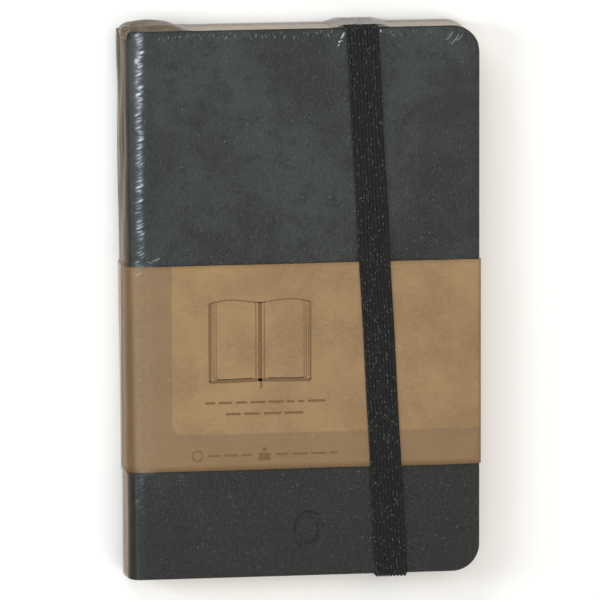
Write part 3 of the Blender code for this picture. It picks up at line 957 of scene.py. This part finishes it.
# Three series of creases there: pitch in mm, slope, shift, weight and how thin each is.
CREASES = ((1.70, 0.32, 0.0, 1.15, 0.11), (1.70, 0.08, 0.6, 0.8, 0.09), (0.86, 0.45, 0.3, 0.7, 0.15))
STRAP_SPILL = 3.4 * MM  # how far the film that the strap holds off reaches beside the strap


def film(name, finish, points, rows, columns, flip=False):
    return piece(name, points, grid_faces(rows, columns, flip=flip), finish, sharp=180)


def over_band(y):
    """How far the band lifts the film at a height up the notebook."""
    return (BAND_HIGH.z - FRONT_FACE) * plateau(BAND_LOW.y - 1.2 * MM, BAND_LOW.y + 0.1 * MM,
                                                BAND_HIGH.y - 0.1 * MM, BAND_HIGH.y + 1.2 * MM, y)


def shoulder(u, y):
    """A point and its outward direction on the front shoulder, u along the section from the spine's side."""
    quarter = math.pi / 2 * SHOULDER
    if u < 0:
        return Vector((LEFT, y, FRONT_FACE - SHOULDER + u)), Vector((-1, 0, 0))
    if u > quarter:
        return Vector((LEFT + SHOULDER + u - quarter, y, FRONT_FACE)), Vector((0, 0, 1))
    out = Vector((-math.cos(u / SHOULDER), 0, math.sin(u / SHOULDER)))
    return Vector((LEFT + SHOULDER, y, FRONT_FACE - SHOULDER)) + out * SHOULDER, out


def film_creases(u, y):
    """How sharply the shrunk film is gathered at a place on the front shoulder, from 0 to 1."""
    across = 1 - abs(u - CREST_U - 0.2 * MM * wobble(y * 200, 4.0, 4.0)) / (1.9 * MM)
    on_band = plateau(BAND_LOW.y - 1 * MM, BAND_LOW.y, BAND_HIGH.y - 3 * MM, BAND_HIGH.y - 1 * MM, y)
    if across <= 0 or on_band >= 1:
        return 0.0
    lasting = 0.45 * smooth_step(-57 * MM, -46 * MM, y)
    lasting += 0.55 * smooth_step(BAND_HIGH.y - 2 * MM, BAND_HIGH.y + 6 * MM, y)
    wander = 0.55 * MM * wobble(y * 150, 3.0, 1.0) + 0.2 * MM * wobble(y * 500, 3.0, u * 300)
    sharpest = 0.0
    for pitch, slope, shift, weight, thin in CREASES:
        phase = (y - slope * (u - CREST_U) + wander) / MM / pitch + shift
        strand = math.floor(phase + 0.5)
        strength = 0.60 + 1.3 * wobble(strand * 1.37 + 0.3, pitch * 3.1, slope)
        middle = CREST_U + 1.5 * MM * wobble(strand * 2.11 + 0.7, pitch * 5.3, slope)
        short = math.exp(-((u - middle) / (0.75 * MM)) ** 2)
        ridge = short * math.exp(-((phase - strand) ** 2) / (2 * thin ** 2))
        sharpest = max(sharpest, weight * strength * ridge)
    return min(1.0, max(0.0, sharpest * smooth_step(0, 0.6, across) * lasting * (1 - on_band)))


def film_over_spine():
    """Film from the spine's side over the front shoulder, where it is creased: looser towards the head."""
    side = FRONT_FACE - SHOULDER - (BACK_FACE + 2.6 * MM)
    stations = spread(-side, 1.5 * MM, 0.5 * MM) + spread(1.5 * MM, 9.8 * MM, 0.2 * MM)[1:]
    rows = spread(-HALF + 0.3 * MM, HALF - 0.1 * MM, 0.3 * MM)
    points, shares = [], []
    for y in rows:
        loose = smooth_step(-50 * MM, HALF, y)
        near_head = smooth_step(40 * MM, HALF, y)
        joint = 3.1 * MM - 0.9 * MM * y / HALF
        for u in stations:
            on_side = (u + side) / (side + 2.2 * MM)
            bulge = 0.0
            if on_side < 1:
                bulge = (0.3 + 1.15 * loose) * MM * math.sin(math.pi * on_side ** 0.5) ** 1.3
            fold = wobble(y * 60 + u * 90, u * 420, 5.0) * min(1.0, 5 * max(0.0, on_side * (1 - on_side)))
            crest = film_creases(u, y)
            hump = math.exp(-((u - CREST_U) / (1.5 * MM)) ** 2) * (0.25 + 0.1 * wobble(y * 90, 2.0, 6.0))
            place, out = shoulder(u, y)
            ridges = (0.30 * fold * (0.4 + loose) + hump + 0.16 * crest) * MM
            points.append(place + out * (0.06 * MM + over_band(y) + bulge + ridges))
            # Painted highlight: a soft glow of light along the shoulder, stronger towards the head, and a
            # pale sheen over the band beside it.
            painted_glow = math.exp(-((u - 4.5 * MM) / (1.6 * MM)) ** 2) * (0.10 + 0.55 * loose + 0.35 * near_head)
            if over_band(y) > 0.05 * MM:
                painted_glow = max(painted_glow, 0.62 * plateau(2.5 * MM, 4.2 * MM, 6.4 * MM, 9.4 * MM, u))
            shares.append((crest, painted_glow * (1 - smooth_step(8.2 * MM, 9.7 * MM, u)),
                           1 - smooth_step(joint - 0.9 * MM, joint + 0.6 * MM, u)))
    made = film("film_over_spine", SPINE_FILM, points, len(rows), len(stations))
    layer = made.data.attributes.new("film", "FLOAT_VECTOR", "POINT")
    layer.data.foreach_set("vector", np.array(shares, np.float32).ravel())
    bend_at_shoulder(made)


def wrinkles(name, finish, marks, face=FRONT_FACE):
    """Raised creases in the film over a face. Each mark is (x, y, turn, length, width, height), in mm."""
    points, faces = [], []
    along_steps, across_steps = 10, 6
    for x, y, turn, length, width, height in marks:
        start = len(points)
        c, s = math.cos(math.radians(turn)), math.sin(math.radians(turn))
        for i in range(along_steps + 1):
            t = 2 * i / along_steps - 1
            lens = math.sqrt(max(0.0, 1 - t * t)) + 0.04
            for j in range(across_steps + 1):
                q = 2 * j / across_steps - 1
                a, b = t * length / 2, q * width / 2 * lens + 0.10 * length * t * t
                rise = height * lens * (1 - q * q) + 0.015
                points.append(Vector(((x + a * c - b * s) * MM, (y + a * s + b * c) * MM, face + rise * MM)))
        faces += grid_faces(along_steps + 1, across_steps + 1, start)
    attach(piece(name, points, faces, finish, sharp=180), "front_cover")


def band_marks():
    """A few small creases in the film over the band."""
    random.seed(58)
    marks = []
    for _ in range(26):
        size = random.uniform(0.5, 1.2)
        x, y = random.uniform(-43, 8), random.uniform(BAND_LOW.y / MM + 2, BAND_HIGH.y / MM - 2)
        turn = random.choice((-55, -40, 20, 35, 60)) + random.uniform(-12, 12)
        marks.append((x, y, turn, 1.5 * size, 0.2 * size, 0.05 * size))
    return marks


def head_edge_marks():
    """Tiny creases where the film turns over the front cover's head edge."""
    random.seed(33)
    marks, x = [], LEFT / MM + 7
    while x < 34:
        x += random.uniform(0.4, 1.6)
        size = random.uniform(0.5, 1.2)
        y, turn = HALF / MM - random.uniform(0.8, 2.2), random.uniform(60, 120)
        marks.append((x, y, turn, 0.8 * size, 0.22 * size, 0.07 * size))
    return marks


def film_edge_path(first, last):
    """Places and outward directions round the spine's head corner, along the head and round the fore edge."""
    def rounded(x, y, radius, *turn):
        outs = [Vector((a, b, 0)) for a, b in arc((0, 0), 1, *turn)[1:]]
        return [(Vector((x, y, 0)) + out * radius, out) for out in outs]

    spine = spread(HALF - 1.8 * MM, HALF - 1 * MM, 0.2 * MM)
    path = [(Vector((LEFT, y, 0)), Vector((-1, 0, 0))) for y in spine]
    path += rounded(LEFT + MM, HALF - MM, MM, 180, 90, 8)
    near, far = spread(LEFT + MM, LEFT + 18 * MM, 0.3 * MM), spread(LEFT + 18 * MM, RIGHT - CORNER, 1.2 * MM)
    path += [(Vector((x, HALF, 0)), Vector((0, 1, 0))) for x in near[1:] + far[1:]]
    path += rounded(RIGHT - CORNER, HALF - CORNER, CORNER, 90, 15, 14)
    return [(place, out) for place, out in path if first <= place.x <= last]


def stay_on_head(made):
    """Film on the head stays with the block, with a mesh of its own."""
    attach(made, "spine_block")
    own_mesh(made)


def film_sheet(name, finish, first, last, step, offset):
    """Film up the notebook's edge, between two places in x, held off it by an offset."""
    path, levels = film_edge_path(first, last), spread(BACK_FACE + 0.1 * MM, FRONT_FACE - 0.1 * MM, step)
    points = []
    for z in levels:
        share = min(1.0, max(0.0, (z - levels[0]) / (levels[-1] - levels[0])))
        points += [Vector((place.x, place.y, z)) + out * offset(place, out, z, share) for place, out in path]
    stay_on_head(film(name, finish, points, len(levels), len(path), flip=True))


def stretched(place, _, z, share):
    return 0.06 * MM + 0.05 * MM * abs(wobble(place.x * 70, 2.0, z * 120)) * min(1, 6 * share * (1 - share))


def bunched(place, out, z, share):
    along = place.x - LEFT if out.y > 0.5 else place.y - HALF
    bunch = plateau(-3.4 * MM, 0.6 * MM, 9.5 * MM, 17.0 * MM, along)
    belly = max(0.0, math.sin(math.pi * share ** 2.2)) ** 0.7
    folds = wobble(along * 100 + z * 90, 3.0, z * 260)
    small = wobble(along * 260, 4.0, z * 1300)
    line = (z - 9.0 * MM + 1.3 * (along - 2.0 * MM)) / (0.8 * MM)
    tuck = 0.9 * math.exp(-line * line) * plateau(1.6 * MM, 3.4 * MM, 5.0 * MM, 8.0 * MM, along)
    return 0.14 * MM + bunch * belly * (2.15 + 0.75 * folds + 0.07 * small - tuck) * MM


def film_at_strap(name, first, last):
    """Film held off the head by the strap's turn, in one part of its width: over the strap, or beside it."""
    columns = spread(first, last, 0.3 * MM)
    levels = spread(BACK_FACE - 0.25 * MM, FRONT_FACE + 0.1 * MM, 0.4 * MM)
    points = []
    for z in levels:
        for x in columns:
            beside = max(HEAD_LOW.x - x, x - HEAD_HIGH.x, 0.0)
            wave = 0.10 * wobble(x * 200, 6.0, z * 70) + 0.03 * wobble(x * 500, 2.0, z * 200)
            eased = (STRAP_THICKNESS + 0.10 * MM) * (1 - smooth_step(0.2 * MM, STRAP_SPILL, beside))
            points.append(Vector((x, HALF + 0.15 * MM + eased + abs(wave) * MM, z)))
    return film(name, FOLDED_FILM, points, len(levels), len(columns), flip=True)


film_over_spine()
# The creases below are raised in the geometry; their pale film colours are painted glints.
wrinkles("film_strap_wrinkles", PAINTED_GLINT_FILM, [
    (9.9, 68.0, 60, 1.9, 0.55, 0.16), (9.3, 66.6, 20, 1.3, 0.45, 0.14),
    (19.6, 69.0, 75, 0.9, 0.35, 0.10), (8.9, 65.7, 50, 0.8, 0.3, 0.10)])
wrinkles("film_corner_wrinkles", FAINT_PAINTED_GLINT_FILM, [
    (37.4, 67.4, 52, 2.9, 0.34, 0.12), (38.9, 66.6, 50, 3.6, 0.40, 0.14), (40.0, 66.9, 47, 2.4, 0.30, 0.10),
    (38.3, 65.9, 54, 1.8, 0.26, 0.10), (-37.9, 12.0, 20, 2.4, 0.5, 0.12), (-39.6, 11.4, -15, 1.6, 0.4, 0.12)])
wrinkles("film_band_wrinkles", CARD_PAINTED_GLINT_FILM, band_marks(), BAND_HIGH.z + 0.04 * MM)
wrinkles("film_edge_wrinkles", FAINT_PAINTED_GLINT_FILM, head_edge_marks())
film_sheet("film_over_head", HEAD_FILM, LEFT + 12 * MM, RIGHT, 0.6 * MM, stretched)
film_sheet("film_head_fold", FOLDED_FILM, LEFT - MM, LEFT + 17 * MM, 0.3 * MM, bunched)
strap_film = film_at_strap("film_over_strap", HEAD_LOW.x, HEAD_HIGH.x)
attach(strap_film, "elastic_strap")
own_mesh(strap_film)
stay_on_head(film_at_strap("film_beside_strap_spine", HEAD_LOW.x - STRAP_SPILL, HEAD_LOW.x))
stay_on_head(film_at_strap("film_beside_strap_fore", HEAD_HIGH.x, HEAD_HIGH.x + STRAP_SPILL))

# ---- shown CAD nodes
for look, names in ((BOARD, ("front_cover_board", "back_cover_board", "spine_liner")),
                    (CLOTH, ("mull_lining", "rear_pocket_head_gusset", "rear_pocket_tail_gusset")),
                    (CARD, ("rear_pocket_panel",)),
                    (THREAD, [f"sewing_thread_{n}" for n in range(1, 6)])):
    for name in names:
        shown = nodes[name].data
        remember_rest(shown)
        shown.materials.clear()
        shown.materials.append(look)


# ---- stage and light
def floor():
    mesh = bpy.data.meshes.new("floor")
    corners = ((-2.5, -2.5), (2.5, -2.5), (2.5, 2.5), (-2.5, 2.5))
    mesh.from_pydata([(x, y, -0.05 * MM) for x, y in corners], [], [(0, 1, 2, 3)])
    remember_rest(mesh)
    p = Pattern("floor")
    p.finish(p.mix(p.noise(0.01, 2), (0.96, 0.945, 0.925), (0.99, 0.975, 0.955)), 0.9, specular=0.1)
    mesh.materials.append(p.material)
    added("floor", mesh)


def lamp(name, place, target, size, power, colour):
    data = bpy.data.lights.new(name, "AREA")
    data.shape = "RECTANGLE"
    data.size, data.size_y = size
    data.energy = power
    data.color = colour
    made = added(name, data)
    made.location = place
    made.rotation_euler = (Vector(target) - Vector(place)).to_track_quat("-Z", "Y").to_euler()


floor()
lamp("window", (-0.55, 0.10, 0.42), (-0.03, 0.03, 0.01), (0.22, 0.50), 2.3, (0.88, 0.96, 1.0))
lamp("sky", (-0.30, 0.60, 0.60), (-0.02, 0.04, 0.01), (0.5, 0.4), 2.4, (0.92, 0.98, 1.0))
lamp("fill", (0.8, -0.7, 1.1), (0, 0, 0), (1.0, 1.0), 4.0, (1.0, 0.95, 0.88))
lamp("top", (0.1, 0.2, 1.7), (0, 0, 0), (1.2, 1.2), 9.0, (1.0, 0.98, 0.95))

world = bpy.data.worlds.new("world")
world.use_nodes = True
background = world.node_tree.nodes["Background"].inputs
background[0].default_value = (1.0, 1.0, 1.0, 1.0)
background[1].default_value = 0.42
bpy.context.scene.world = world
bpy.context.scene.view_settings.view_transform = "Standard"
